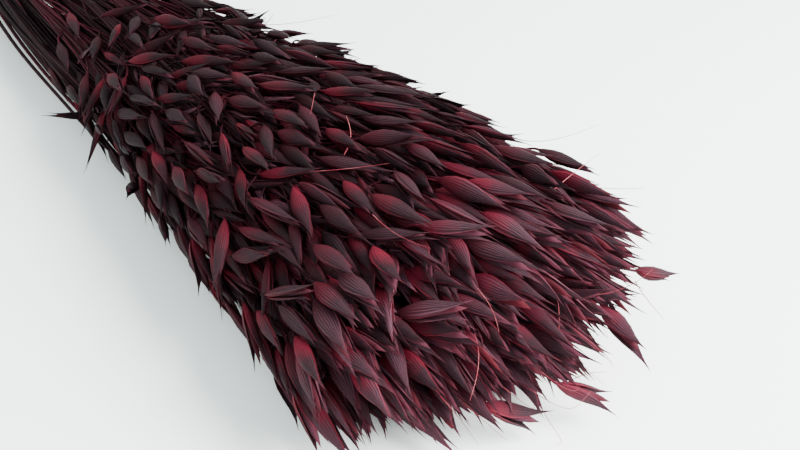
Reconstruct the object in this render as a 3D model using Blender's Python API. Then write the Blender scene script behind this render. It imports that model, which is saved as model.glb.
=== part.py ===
"""A bunch of dyed, dried oats, tied round its stems and lying on its side.

Every stalk is one object: a straw, the rachis that carries on from it, and the spikelets that
stand on the rachis by their own short pedicels. The stalks fan out from the tie to the heads.
Lengths are in metres. The stalks run along +X, from their cut ends to the heads, and Z is up.
Stations along the bunch are measured from a point 50 mm past the tie.
"""

import math
import random

import bmesh
import bpy
from mathutils import Matrix, Vector

MM = 0.001

# The bunch as a whole
STALKS = 42
CUT_END = -200 * MM
CUT_STAGGER = 9 * MM
HEAD_END = 370 * MM
CAP_DEPTH = 41 * MM
CAP_FULLNESS = 0.98
TWIST = math.radians(32)
BEND = -20 * MM
BEND_START = 0.6
BEND_LENGTH = 383 * MM
WIDEST_LEVEL = 0.42

# Where the straws run: station, half width, lowest and highest straw over the table, and how
# round the underside is, from 1 for an oval down to 0 for a flat one
SECTIONS = (
    (-200 * MM, 27 * MM, 1.4 * MM, 40 * MM, 1.0),
    (-50 * MM, 18 * MM, 5.2 * MM, 32 * MM, 1.0),
    (20 * MM, 24 * MM, 5.6 * MM, 37 * MM, 0.95),
    (97 * MM, 33 * MM, 5.8 * MM, 43 * MM, 0.85),
    (193 * MM, 42 * MM, 5.5 * MM, 49 * MM, 0.66),
    (290 * MM, 51 * MM, 5.7 * MM, 54 * MM, 0.60),
    (400 * MM, 59 * MM, 6.4 * MM, 52 * MM, 0.60),
)
PATH_STATIONS = (-50 * MM, 35 * MM, 120 * MM, 205 * MM, 290 * MM)
STATION_MARGIN = 20 * MM
SLOPE_STEP = 4 * MM
TURN_STEP = 0.05

# A straw and its rachis. The outer stalks of odd index may end early, the others near the cap
STRAW_RADIUS = 1.45 * MM
RACHIS_RADIUS = 0.95 * MM
RACHIS_TIP_RADIUS = 0.7 * MM
STRAW_SIDES = 5
PANICLE_LENGTH = (170 * MM, 235 * MM)
OUTER_REACH = 0.55
EARLY_END = (45 * MM, 125 * MM)
LATE_END = (0 * MM, 50 * MM)
FIRST_SPIKELET = 124 * MM
SHORTER_TIP = 5 * MM
NARROWER_END = 0.95
MOST_SHORTENINGS = 12

# A spikelet with its pedicel
SPIKELETS = 334
SPIKELET_LENGTH = (26 * MM, 32 * MM)
SPIKELET_WIDTH = (5.0 * MM, 6.4 * MM)
FLATNESS = 0.8
PEDICEL_RADIUS = 0.62 * MM
BASE_AT = 0.07
BASE_SHARE = 0.38
BELLY_AT = 0.36

# How the spikelets stand: height of their bases over the straws, angles, roots on the rachis
COVER = 4.4 * MM
COVER_SHARE = (0.6, 1.05)
LIFT = math.radians(9)
LIFT_SHARE = (0.1, 1.4)
UNDER_LIFT_SHARE = (-0.4, 0.3)
CAP_LIFT_SHARE = (-0.5, 1.2)
UNDERSIDE = -0.5
STRAY = math.radians(13)
STRAGGLERS = 0.08
STRAGGLER_TURN = 2.6
CAP_SCATTER = (-14 * MM, 4 * MM)
ROOT_BACK = 9 * MM
ROOT_SLOPE = 0.55
ROOT_INSET = 1 * MM
LONGEST_RUN = 36 * MM
END_STEP = 2 * MM
NEAREST_STALKS = 4

# Spikelets that hang clear of the head, by their base and tip in the layout
STRAYS = (
    ((379, 27, 22), (405, 22, 17)),
    ((391, -4, 16), (402, 12, 6)),
    ((384, -26, 16), (394, -9, 5)),
    ((374, 49, 21), (381, 65, 14)),
    ((335, -63, 19), (355, -66, 11)),
    ((326, 51, 43), (348, 59, 40)),
)

# How places for them are tried: evenly spread along and round the head, some on its cap, and
# fewer along the neck that leads up to it
NECK = (120 * MM, 235 * MM)
NECK_CROWDING = 3.2
ALONG_STEP = 0.6180339887
AROUND_STEP = 0.7548776662
FORWARD_CROWDING = 0.72
CAP_EVERY = 7
MOST_TRIES = 14000
CLEARANCE = 0.55 * MM
OWN_CLEARANCE = 0.1 * MM
CELL = 5 * MM
STRAW_SAMPLE = 1.6 * MM
PEDICEL_SAMPLE = 1.4 * MM
HUSK_SAMPLES = 11
SEED = 17

# The twine round the straws, and the station of its middle
TIE_AT = -50 * MM
TIE_LENGTH = 13 * MM
TIE_THICKNESS = 2.4 * MM
TIE_GAP = 0.5 * MM
TIE_SIDES = 28
TIE_PROFILE = ((-0.5, 0.0), (-0.5, 0.55), (-0.32, 1.0), (0.32, 1.0), (0.5, 0.55), (0.5, 0.0))

# Colours and finish
HUSK_COLOUR = (0.075, 0.014, 0.026, 1.0)
HUSK_ROUGHNESS = 0.62
TWINE_COLOUR = (0.36, 0.24, 0.13, 1.0)
TWINE_ROUGHNESS = 0.9


def clear_scene():
    for obj in list(bpy.data.objects):
        bpy.data.objects.remove(obj)


def material(name, colour, roughness):
    made = bpy.data.materials.new(name)
    made.use_nodes = True
    shader = made.node_tree.nodes["Principled BSDF"]
    shader.inputs["Base Color"].default_value = colour
    shader.inputs["Roughness"].default_value = roughness
    return made


def blended(values, x):
    """The smooth curve through (station, value, ...) rows, read at x."""
    rows = list(values)
    x = min(max(x, rows[0][0]), rows[-1][0])
    i = max(k for k in range(len(rows) - 1) if rows[k][0] <= x)
    before, low = rows[max(i - 1, 0)], rows[i]
    high, after = rows[i + 1], rows[min(i + 2, len(rows) - 1)]
    span = high[0] - low[0]
    t = (x - low[0]) / span
    read = []
    for k in range(1, len(low)):
        rise_low = (high[k] - before[k]) / (high[0] - before[0]) * span
        rise_high = (after[k] - low[k]) / (after[0] - low[0]) * span
        read.append(
            low[k] * (2 * t**3 - 3 * t**2 + 1)
            + rise_low * (t**3 - 2 * t**2 + t)
            + high[k] * (3 * t**2 - 2 * t**3)
            + rise_high * (t**3 - t**2)
        )
    return read


def middle(x):
    """The sideways bend of the bunch's middle line."""
    t = x / BEND_LENGTH
    return BEND * (t * t - BEND_START * t) if x > 0 else -BEND_START * BEND * t


def cap_station(reach):
    """Where the head's rounded end lies, at a distance of reach from the middle of the disc."""
    return HEAD_END - CAP_DEPTH * (1 - math.sqrt(1 - reach**2 * CAP_FULLNESS))


def section_point(x, a, b, cover=0.0):
    """The point at (a, b) of the unit disc, carried to the bunch's cross-section at x."""
    half_width, low, high, roundness = blended(SECTIONS, x)
    level = low + WIDEST_LEVEL * (high - low)
    y = middle(x) + (half_width + cover) * a
    if b > 0:
        return Vector((x, y, level + (high - level + cover) * b))
    return Vector((x, y, level - (level - low + cover) * abs(b) ** roundness))


def fan_direction(x, a, b, cover=0.0):
    ahead = section_point(x + SLOPE_STEP, a, b, cover)
    return (ahead - section_point(x - SLOPE_STEP, a, b, cover)).normalized()


def outward(x, a, b):
    """Square to the fan direction, away from the bunch's middle."""
    angle = math.atan2(b, a)
    ahead = section_point(x, math.cos(angle + TURN_STEP), math.sin(angle + TURN_STEP))
    behind = section_point(x, math.cos(angle - TURN_STEP), math.sin(angle - TURN_STEP))
    return (ahead - behind).cross(fan_direction(x, a, b)).normalized()


class Stalk:
    """One oat stalk: where it runs, and where its panicle starts and ends."""

    def __init__(self, index, rng):
        self.index = index
        self.reach = math.sqrt((index + 0.5) / STALKS)
        self.angle = index * math.pi * (3 - math.sqrt(5))
        ends_early = index % 2 == 1 and self.reach > OUTER_REACH
        self.tip_x = cap_station(self.reach) - rng.uniform(*(EARLY_END if ends_early else LATE_END))
        self.start_x = max(self.tip_x - rng.uniform(*PANICLE_LENGTH), FIRST_SPIKELET)
        self.cut_x = CUT_END + rng.uniform(0, CUT_STAGGER)
        self.path = None

    def disc(self, x):
        turned = self.angle + TWIST * x / HEAD_END
        return self.reach * math.cos(turned), self.reach * math.sin(turned)

    def point(self, x):
        return section_point(x, *self.disc(x))

    def direction(self, x):
        return (self.point(x + SLOPE_STEP) - self.point(x - SLOPE_STEP)).normalized()

    def radius(self, x):
        if x < self.start_x:
            t = max(0.0, x) / self.start_x
            return STRAW_RADIUS + (RACHIS_RADIUS - STRAW_RADIUS) * t
        t = (x - self.start_x) / (self.tip_x - self.start_x)
        return RACHIS_RADIUS + (RACHIS_TIP_RADIUS - RACHIS_RADIUS) * min(1.0, t)

    def shorten(self, step):
        self.tip_x -= step
        self.path = None

    def stations(self):
        first, last = self.cut_x + STATION_MARGIN, self.tip_x - STATION_MARGIN
        return [self.cut_x, *(x for x in PATH_STATIONS if first < x < last), self.tip_x]

    def path_point(self, x):
        """The point at x of the straight runs between the stalk's stations."""
        if self.path is None:
            self.path = [(station, self.point(station)) for station in self.stations()]
        x = min(max(x, self.path[0][0]), self.path[-1][0])
        i = max(k for k in range(len(self.path) - 1) if self.path[k][0] <= x)
        (low, low_point), (high, high_point) = self.path[i : i + 2]
        return low_point.lerp(high_point, (x - low) / (high - low))


class Spikelet:
    """One spikelet: its root on the rachis, its base, its direction, and its size."""

    def __init__(self, stalk, root, base, direction, normal, length, width):
        self.stalk = stalk
        self.root = root
        self.base = base
        self.direction = direction
        self.normal = normal
        self.length = length
        self.width = width

    def half_width(self, t):
        """Half the width at t of the way from base to tip, past the neck."""
        full = self.width / 2
        if t < BELLY_AT:
            return full * (BASE_SHARE + (1 - BASE_SHARE) * (t - BASE_AT) / (BELLY_AT - BASE_AT))
        return full * (1 - t) / (1 - BELLY_AT)

    def samples(self):
        """(point, radius, is husk) rows close enough together to stand for its surface."""
        neck = self.base + self.direction * self.length * BASE_AT
        steps = max(2, int((neck - self.root).length / PEDICEL_SAMPLE))
        wider = self.half_width(BASE_AT) - PEDICEL_RADIUS
        found = []
        for i in range(steps):
            t = i / steps
            found.append((self.root.lerp(neck, t), PEDICEL_RADIUS + wider * t, False))
        for i in range(HUSK_SAMPLES):
            t = BASE_AT + (1 - BASE_AT) * i / HUSK_SAMPLES
            found.append((self.base + self.direction * self.length * t, self.half_width(t), True))
        return found


class Room:
    """What already stands in the bunch, as spheres, listed in every cell that they reach."""

    def __init__(self):
        self.cells = {}

    def add(self, owner, samples):
        for point, radius, is_husk in samples:
            reach = radius + SPIKELET_WIDTH[1] / 2 + CLEARANCE
            spans = [range(int((c - reach) // CELL), int((c + reach) // CELL) + 1) for c in point]
            item = (owner, *point, radius, is_husk)
            for i in spans[0]:
                for j in spans[1]:
                    for k in spans[2]:
                        self.cells.setdefault((i, j, k), []).append(item)

    def is_clear(self, owner, samples, of_own_stalk=True):
        for (x, y, z), radius, is_husk in samples:
            cell = (int(x // CELL), int(y // CELL), int(z // CELL))
            for other, u, v, w, size, other_husk in self.cells.get(cell, ()):
                if other == owner and not (of_own_stalk and (is_husk or other_husk)):
                    continue
                least = radius + size + (CLEARANCE if other != owner else OWN_CLEARANCE)
                if (u - x) ** 2 + (v - y) ** 2 + (w - z) ** 2 < least * least:
                    return False
        return True


def straw_samples(stalk):
    count = int((stalk.tip_x - stalk.cut_x) / STRAW_SAMPLE)
    stations = [stalk.cut_x + (stalk.tip_x - stalk.cut_x) * i / count for i in range(count + 1)]
    return [(stalk.path_point(x), stalk.radius(x), False) for x in stations]


def turned(direction, normal, lift, aside):
    """The direction raised towards the normal by lift, and swung to one side."""
    side = direction.cross(normal).normalized()
    swung = direction * math.cos(aside) + side * math.sin(aside)
    return (swung * math.cos(lift) + normal * math.sin(lift)).normalized()


def size_of_spikelet(rng):
    return rng.uniform(*SPIKELET_LENGTH), rng.uniform(*SPIKELET_WIDTH)


def end_spikelet(stalk, size):
    """The spikelet that a rachis ends in."""
    tip, along = stalk.point(stalk.tip_x), stalk.direction(stalk.tip_x)
    normal = outward(stalk.tip_x, *stalk.disc(stalk.tip_x))
    root = stalk.path_point(stalk.tip_x - END_STEP)
    return Spikelet(stalk, root, tip + along * END_STEP, along, normal, *size)


def on_nearest_stalks(stalks, base, direction, normal, size):
    """The same spikelet on each of the stalks whose rachis is nearest, with its root set back."""
    found = []
    for stalk in stalks:
        root_x = min(base.x - ROOT_BACK, stalk.tip_x - ROOT_INSET)
        if root_x < stalk.start_x or base.x - root_x > LONGEST_RUN:
            continue
        rachis = stalk.path_point(root_x)
        sideways = math.hypot(base.y - rachis.y, base.z - rachis.z)
        root = stalk.path_point(max(root_x - ROOT_SLOPE * sideways, stalk.start_x))
        found.append(((base - root).length, stalk.index, root))
    found.sort(key=lambda item: item[:2])
    nearest = found[:NEAREST_STALKS]
    return [Spikelet(stalks[index], root, base, direction, normal, *size) for _, index, root in nearest]


def side_spikelet(stalks, x, angle, rng):
    """Candidates for a spikelet whose base lies at x, in the outer layer."""
    a, b = math.cos(angle), math.sin(angle)
    size = size_of_spikelet(rng)
    base = section_point(x, a, b, COVER * rng.uniform(*COVER_SHARE))
    lift = LIFT * rng.uniform(*(LIFT_SHARE if b > UNDERSIDE else UNDER_LIFT_SHARE))
    aside = rng.gauss(0, STRAY)
    if rng.random() < STRAGGLERS:
        aside = rng.choice((-1, 1)) * STRAGGLER_TURN * STRAY
    normal = outward(x, a, b)
    direction = turned(fan_direction(x, a, b, COVER), normal, lift, aside)
    return on_nearest_stalks(stalks, base, direction, normal, size)


def stray_spikelet(stalks, base, tip, rng):
    """Candidates for a spikelet that hangs clear of the head, from base to tip in millimetres."""
    base, tip = Vector(base) * MM, Vector(tip) * MM
    _, width = size_of_spikelet(rng)
    run = tip - base
    normal = run.cross(Vector((0, 0, 1))).cross(run).normalized()
    return on_nearest_stalks(stalks, base, run.normalized(), normal, (run.length, width))


def cap_spikelet(stalks, reach, angle, rng):
    """Candidates for a spikelet on the rounded end of the bunch."""
    a, b = reach * math.cos(angle), reach * math.sin(angle)
    x = cap_station(reach) + rng.uniform(*CAP_SCATTER)
    size = size_of_spikelet(rng)
    base = section_point(x, a, b, COVER * reach)
    normal = outward(x, a, b)
    lift = LIFT * rng.uniform(*CAP_LIFT_SHARE)
    direction = turned(fan_direction(x, a, b), normal, lift, rng.gauss(0, STRAY))
    return on_nearest_stalks(stalks, base, direction, normal, size)


def end_the_stalks(stalks, rng):
    """Ends every stalk in a spikelet, on a rachis short enough to keep it clear of the others."""
    room = Room()
    for stalk in stalks:
        room.add(stalk.index, straw_samples(stalk))
    ends = []
    for stalk in stalks:
        length, width = size_of_spikelet(rng)
        end = end_spikelet(stalk, (length, width))
        for _ in range(MOST_SHORTENINGS):
            if room.is_clear(stalk.index, end.samples(), False):
                break
            stalk.shorten(SHORTER_TIP)
            width *= NARROWER_END
            end = end_spikelet(stalk, (length, width))
        ends.append(end)
        room.add(stalk.index, end.samples())
    return ends


def place_first_clear(options, room, placed):
    """Places the first of the candidates that is clear of all that stands already."""
    for spikelet in options:
        samples = spikelet.samples()
        if room.is_clear(spikelet.stalk.index, samples):
            placed.append(spikelet)
            room.add(spikelet.stalk.index, samples)
            return


def grow_spikelets(stalks, rng):
    """Places spikelets all round the head, each clear of every other stalk."""
    placed = end_the_stalks(stalks, rng)
    room = Room()
    for stalk, end in zip(stalks, placed):
        room.add(stalk.index, straw_samples(stalk))
        room.add(stalk.index, end.samples())
    for base, tip in STRAYS:
        place_first_clear(stray_spikelet(stalks, base, tip, rng), room, placed)
    side_length = HEAD_END - CAP_DEPTH / 2 - FIRST_SPIKELET
    for tries in range(1, MOST_TRIES):
        share = tries * ALONG_STEP % 1.0
        angle = 2 * math.pi * (tries * AROUND_STEP % 1.0)
        if tries % CAP_EVERY == 0:
            options = cap_spikelet(stalks, math.sqrt(share), angle, rng)
        else:
            x = FIRST_SPIKELET + side_length * share**FORWARD_CROWDING
            if x < NECK[1] and rng.random() > ((x - NECK[0]) / (NECK[1] - NECK[0])) ** NECK_CROWDING:
                continue
            options = side_spikelet(stalks, x, angle, rng)
        place_first_clear(options, room, placed)
        if len(placed) == SPIKELETS:
            break
    return placed


def ring(bm, centre, across, up, half_across, half_up, sides):
    turns = [2 * math.pi * i / sides for i in range(sides)]
    return [
        bm.verts.new(centre + across * half_across * math.cos(t) + up * half_up * math.sin(t)) for t in turns
    ]


def join_rings(bm, first, second):
    for i in range(len(first)):
        j = (i + 1) % len(first)
        bm.faces.new((first[i], first[j], second[j], second[i]))


def object_from(bm, name, paint):
    bmesh.ops.recalc_face_normals(bm, faces=bm.faces)
    mesh = bpy.data.meshes.new(name)
    bm.to_mesh(mesh)
    bm.free()
    mesh.materials.append(paint)
    obj = bpy.data.objects.new(name, mesh)
    bpy.context.scene.collection.objects.link(obj)
    return obj


def straw_object(stalk, name, paint):
    bm = bmesh.new()
    rings = []
    for x in stalk.stations():
        along = stalk.direction(x)
        across = along.cross(Vector((0, 0, 1))).normalized()
        radius = stalk.radius(x)
        rings.append(ring(bm, stalk.point(x), across, across.cross(along), radius, radius, STRAW_SIDES))
    for first, second in zip(rings, rings[1:]):
        join_rings(bm, first, second)
    bm.faces.new(rings[0])
    bm.faces.new(rings[-1])
    return object_from(bm, name, paint)


def spikelet_object(spikelet, name, paint):
    """Pedicel, base, belly and tip, square in section and flattened."""
    bm = bmesh.new()
    stem = (spikelet.base - spikelet.root).normalized()
    axis = spikelet.direction
    across = axis.cross(spikelet.normal).normalized()
    up = across.cross(axis)
    stem_across = stem.cross(spikelet.normal).normalized()
    rings = [
        ring(bm, spikelet.root, stem_across, stem_across.cross(stem), PEDICEL_RADIUS, PEDICEL_RADIUS, 4)
    ]
    for t in (BASE_AT, BELLY_AT):
        half = spikelet.half_width(t)
        centre = spikelet.base + axis * spikelet.length * t
        rings.append(ring(bm, centre, across, up, half, half * FLATNESS, 4))
    tip = bm.verts.new(spikelet.base + axis * spikelet.length)
    for first, second in zip(rings, rings[1:]):
        join_rings(bm, first, second)
    bm.faces.new(rings[0])
    for i in range(4):
        bm.faces.new((rings[-1][i], rings[-1][(i + 1) % 4], tip))
    bmesh.ops.triangulate(bm, faces=bm.faces)
    return object_from(bm, name, paint)


def fuse(body, pieces):
    """Joins the pieces to the body with one union, and removes them."""
    together = bpy.data.collections.new(body.name + "_spikelets")
    for piece in pieces:
        bpy.context.scene.collection.objects.unlink(piece)
        together.objects.link(piece)
    union = body.modifiers.new("union", "BOOLEAN")
    union.operation = "UNION"
    union.operand_type = "COLLECTION"
    union.collection = together
    union.solver = "EXACT"
    bpy.context.view_layer.update()
    graph = bpy.context.evaluated_depsgraph_get()
    joined = bpy.data.meshes.new_from_object(body.evaluated_get(graph))
    body.modifiers.clear()
    body.data = joined
    bm = bmesh.new()
    bm.from_mesh(joined)
    bmesh.ops.dissolve_limit(bm, angle_limit=math.radians(0.5), verts=bm.verts, edges=bm.edges)
    bmesh.ops.triangulate(bm, faces=bm.faces)
    bm.to_mesh(joined)
    bm.free()
    for piece in pieces:
        bpy.data.objects.remove(piece)
    bpy.data.collections.remove(together)


def press_flat(body):
    """Cuts off what reaches below the table, as the bunch's own weight flattens it."""
    if min(v.co.z for v in body.data.vertices) > 0:
        return
    bm = bmesh.new()
    bm.from_mesh(body.data)
    everything = bm.verts[:] + bm.edges[:] + bm.faces[:]
    cut = bmesh.ops.bisect_plane(
        bm, geom=everything, plane_co=(0, 0, 0), plane_no=(0, 0, 1), clear_inner=True, dist=1e-7
    )
    rim = [e for e in cut["geom_cut"] if isinstance(e, bmesh.types.BMEdge)]
    bmesh.ops.holes_fill(bm, edges=rim, sides=0)
    bmesh.ops.recalc_face_normals(bm, faces=bm.faces)
    bm.to_mesh(body.data)
    bm.free()


def tie_object(name, paint):
    """The band of twine: an oval ring with rounded shoulders round the straws."""
    half_width, low, high, _ = blended(SECTIONS, TIE_AT)
    level = low + WIDEST_LEVEL * (high - low)
    bm = bmesh.new()
    rings = []
    for along, share in TIE_PROFILE:
        cover = STRAW_RADIUS + TIE_GAP + TIE_THICKNESS * share
        loop = []
        for i in range(TIE_SIDES):
            turn = 2 * math.pi * i / TIE_SIDES
            reach = (high - level if math.sin(turn) > 0 else level - low) + cover
            y = middle(TIE_AT) + (half_width + cover) * math.cos(turn)
            loop.append(bm.verts.new((TIE_AT + along * TIE_LENGTH, y, level + reach * math.sin(turn))))
        rings.append(loop)
    for i in range(len(rings)):
        join_rings(bm, rings[i], rings[(i + 1) % len(rings)])
    return object_from(bm, name, paint)


def centre_on_table(objects):
    """Moves everything so that the middle of its box, at the table, is the origin."""
    corners = [v.co for obj in objects for v in obj.data.vertices]
    low = Vector(min(c[k] for c in corners) for k in range(3))
    high = Vector(max(c[k] for c in corners) for k in range(3))
    shift = Matrix.Translation(-Vector(((low.x + high.x) / 2, (low.y + high.y) / 2, low.z)))
    for obj in objects:
        obj.data.transform(shift)


def build():
    clear_scene()
    rng = random.Random(SEED)
    husk = material("dyed_husk", HUSK_COLOUR, HUSK_ROUGHNESS)
    twine = material("twine", TWINE_COLOUR, TWINE_ROUGHNESS)
    stalks = [Stalk(i, rng) for i in range(STALKS)]
    spikelets = grow_spikelets(stalks, rng)
    bodies = []
    for stalk in stalks:
        name = f"oat_stalk_{stalk.index + 1:02d}"
        body = straw_object(stalk, name, husk)
        own = [s for s in spikelets if s.stalk is stalk]
        pieces = [spikelet_object(s, f"{name}_spikelet_{i:02d}", husk) for i, s in enumerate(own)]
        fuse(body, pieces)
        press_flat(body)
        bodies.append(body)
    bodies.append(tie_object("twine_tie", twine))
    centre_on_table(bodies)


build()
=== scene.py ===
import math
import random

import bmesh
import bpy
from mathutils import Matrix, Vector


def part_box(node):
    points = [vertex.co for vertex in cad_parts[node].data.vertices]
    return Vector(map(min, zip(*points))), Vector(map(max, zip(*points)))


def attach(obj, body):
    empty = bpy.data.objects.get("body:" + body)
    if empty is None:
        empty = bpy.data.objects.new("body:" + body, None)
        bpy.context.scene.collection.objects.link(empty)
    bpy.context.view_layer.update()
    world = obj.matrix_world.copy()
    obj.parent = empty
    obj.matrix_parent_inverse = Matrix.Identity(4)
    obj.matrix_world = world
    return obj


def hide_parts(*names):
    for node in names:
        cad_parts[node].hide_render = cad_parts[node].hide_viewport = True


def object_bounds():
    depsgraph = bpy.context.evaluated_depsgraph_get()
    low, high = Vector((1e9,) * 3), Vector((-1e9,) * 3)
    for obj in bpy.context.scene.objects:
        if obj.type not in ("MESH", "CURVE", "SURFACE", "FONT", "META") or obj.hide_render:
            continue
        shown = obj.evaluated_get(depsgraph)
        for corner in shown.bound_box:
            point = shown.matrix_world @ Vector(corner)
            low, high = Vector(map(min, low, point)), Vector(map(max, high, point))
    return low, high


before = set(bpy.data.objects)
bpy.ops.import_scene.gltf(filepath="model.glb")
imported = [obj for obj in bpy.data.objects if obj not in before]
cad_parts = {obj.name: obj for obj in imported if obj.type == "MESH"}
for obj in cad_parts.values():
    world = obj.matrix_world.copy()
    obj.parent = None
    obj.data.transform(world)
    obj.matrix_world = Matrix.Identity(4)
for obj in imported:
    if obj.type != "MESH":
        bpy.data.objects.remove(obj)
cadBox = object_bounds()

mm = 0.001

print("frame loaded")

# how the bunch is laid out: x runs from the cut ends to the tips, and the tie is at -50 mm

bunch = {
    "stalks": 42,
    "cutEnd": -200 * mm,
    "cutStagger": 9 * mm,
    "headEnd": 370 * mm,
    "capDepth": 41 * mm,
    "capFullness": 0.98,
    "twist": math.radians(32),
    "bend": -20 * mm,
    "bendStart": 0.6,
    "bendLength": 383 * mm,
    "widestLevel": 0.42,
    # station, half width, lowest and highest straw, roundness of the underside
    "sections": (
        (-200 * mm, 27 * mm, 1.4 * mm, 40 * mm, 1.0),
        (-50 * mm, 18 * mm, 5.2 * mm, 32 * mm, 1.0),
        (20 * mm, 24 * mm, 5.6 * mm, 37 * mm, 0.95),
        (97 * mm, 33 * mm, 5.8 * mm, 43 * mm, 0.85),
        (193 * mm, 42 * mm, 5.5 * mm, 49 * mm, 0.66),
        (290 * mm, 51 * mm, 5.7 * mm, 54 * mm, 0.60),
        (400 * mm, 59 * mm, 6.4 * mm, 52 * mm, 0.60),
    ),
    "pathStations": (-50 * mm, 35 * mm, 120 * mm, 205 * mm, 290 * mm),
    "tieAt": -50 * mm,
    "stationMargin": 20 * mm,
    "slopeStep": 4 * mm,
    "turnStep": 0.05,
    "seed": 17,
}

straw = {
    "radius": 1.45 * mm,
    "rachisRadius": 0.95 * mm,
    "rachisTip": 0.7 * mm,
    "panicle": (170 * mm, 235 * mm),
    "outerReach": 0.55,
    "earlyEnd": (45 * mm, 125 * mm),
    "lateEnd": (0 * mm, 50 * mm),
    "firstSpikelet": 124 * mm,
    "shorterTip": 5 * mm,
    "narrowerEnd": 0.95,
    "mostShortenings": 12,
}

spikeletPlan = {
    "count": 334,
    "length": (26 * mm, 32 * mm),
    "width": (5.0 * mm, 6.4 * mm),
    "pedicelRadius": 0.62 * mm,
    "baseAt": 0.07,
    "baseShare": 0.38,
    "bellyAt": 0.36,
    "cover": 4.4 * mm,
    "coverShare": (0.6, 1.05),
    "lift": math.radians(9),
    "liftShare": (0.1, 1.4),
    "underLiftShare": (-0.4, 0.3),
    "capLiftShare": (-0.5, 1.2),
    "underside": -0.5,
    "stray": math.radians(13),
    "stragglers": 0.08,
    "stragglerTurn": 2.6,
    "capScatter": (-14 * mm, 4 * mm),
    "rootBack": 9 * mm,
    "rootSlope": 0.55,
    "rootInset": 1 * mm,
    "longestRun": 36 * mm,
    "endStep": 2 * mm,
    "nearestStalks": 4,
    "neck": (120 * mm, 235 * mm),
    "neckCrowding": 3.2,
    "alongStep": 0.6180339887,
    "aroundStep": 0.7548776662,
    "forwardCrowding": 0.72,
    "capEvery": 7,
    "mostTries": 14000,
    "clearance": 0.55 * mm,
    "ownClearance": 0.1 * mm,
    "cell": 5 * mm,
    "strawSample": 1.6 * mm,
    "pedicelSample": 1.4 * mm,
    "huskSamples": 11,
    # hanging clear of the head: base and tip, in millimetres
    "strays": (
        ((379, 27, 22), (405, 22, 17)),
        ((391, -4, 16), (402, 12, 6)),
        ((384, -26, 16), (394, -9, 5)),
        ((374, 49, 21), (381, 65, 14)),
        ((335, -63, 19), (355, -66, 11)),
        ((326, 51, 43), (348, 59, 40)),
    ),
}


def blended(rows, x):
    x = min(max(x, rows[0][0]), rows[-1][0])
    i = max(k for k in range(len(rows) - 1) if rows[k][0] <= x)
    before, low = rows[max(i - 1, 0)], rows[i]
    high, after = rows[i + 1], rows[min(i + 2, len(rows) - 1)]
    span = high[0] - low[0]
    t = (x - low[0]) / span
    read = []
    for k in range(1, len(low)):
        riseLow = (high[k] - before[k]) / (high[0] - before[0]) * span
        riseHigh = (after[k] - low[k]) / (after[0] - low[0]) * span
        read.append(
            low[k] * (2 * t**3 - 3 * t**2 + 1)
            + riseLow * (t**3 - 2 * t**2 + t)
            + high[k] * (3 * t**2 - 2 * t**3)
            + riseHigh * (t**3 - t**2)
        )
    return read


def middle(x):
    t = x / bunch["bendLength"]
    bend, start = bunch["bend"], bunch["bendStart"]
    return bend * (t * t - start * t) if x > 0 else -start * bend * t


def capStation(reach):
    return bunch["headEnd"] - bunch["capDepth"] * (1 - math.sqrt(1 - reach**2 * bunch["capFullness"]))


def sectionPoint(x, a, b, cover=0.0):
    halfWidth, low, high, roundness = blended(bunch["sections"], x)
    level = low + bunch["widestLevel"] * (high - low)
    y = middle(x) + (halfWidth + cover) * a
    if b > 0:
        return Vector((x, y, level + (high - level + cover) * b))
    return Vector((x, y, level - (level - low + cover) * abs(b) ** roundness))


def fanDirection(x, a, b, cover=0.0):
    step = bunch["slopeStep"]
    return (sectionPoint(x + step, a, b, cover) - sectionPoint(x - step, a, b, cover)).normalized()


def outward(x, a, b):
    angle, turn = math.atan2(b, a), bunch["turnStep"]
    ahead = sectionPoint(x, math.cos(angle + turn), math.sin(angle + turn))
    behind = sectionPoint(x, math.cos(angle - turn), math.sin(angle - turn))
    return (ahead - behind).cross(fanDirection(x, a, b)).normalized()


class Stalk:
    def __init__(self, index, rng):
        self.index = index
        self.reach = math.sqrt((index + 0.5) / bunch["stalks"])
        self.angle = index * math.pi * (3 - math.sqrt(5))
        endsEarly = index % 2 == 1 and self.reach > straw["outerReach"]
        self.tipX = capStation(self.reach) - rng.uniform(*straw["earlyEnd" if endsEarly else "lateEnd"])
        self.startX = max(self.tipX - rng.uniform(*straw["panicle"]), straw["firstSpikelet"])
        self.cutX = bunch["cutEnd"] + rng.uniform(0, bunch["cutStagger"])
        self.path = None

    def disc(self, x):
        turned = self.angle + bunch["twist"] * x / bunch["headEnd"]
        return self.reach * math.cos(turned), self.reach * math.sin(turned)

    def point(self, x):
        return sectionPoint(x, *self.disc(x))

    def direction(self, x):
        step = bunch["slopeStep"]
        return (self.point(x + step) - self.point(x - step)).normalized()

    def radius(self, x):
        if x < self.startX:
            t = max(0.0, x) / self.startX
            return straw["radius"] + (straw["rachisRadius"] - straw["radius"]) * t
        t = (x - self.startX) / (self.tipX - self.startX)
        return straw["rachisRadius"] + (straw["rachisTip"] - straw["rachisRadius"]) * min(1.0, t)

    def shorten(self, step):
        self.tipX -= step
        self.path = None

    def pathPoint(self, x):
        if self.path is None:
            first = self.cutX + bunch["stationMargin"]
            last = self.tipX - bunch["stationMargin"]
            stations = [self.cutX, *(s for s in bunch["pathStations"] if first < s < last), self.tipX]
            self.path = [(s, self.point(s)) for s in stations]
        x = min(max(x, self.path[0][0]), self.path[-1][0])
        i = max(k for k in range(len(self.path) - 1) if self.path[k][0] <= x)
        (low, lowPoint), (high, highPoint) = self.path[i], self.path[i + 1]
        return lowPoint.lerp(highPoint, (x - low) / (high - low))


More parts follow.
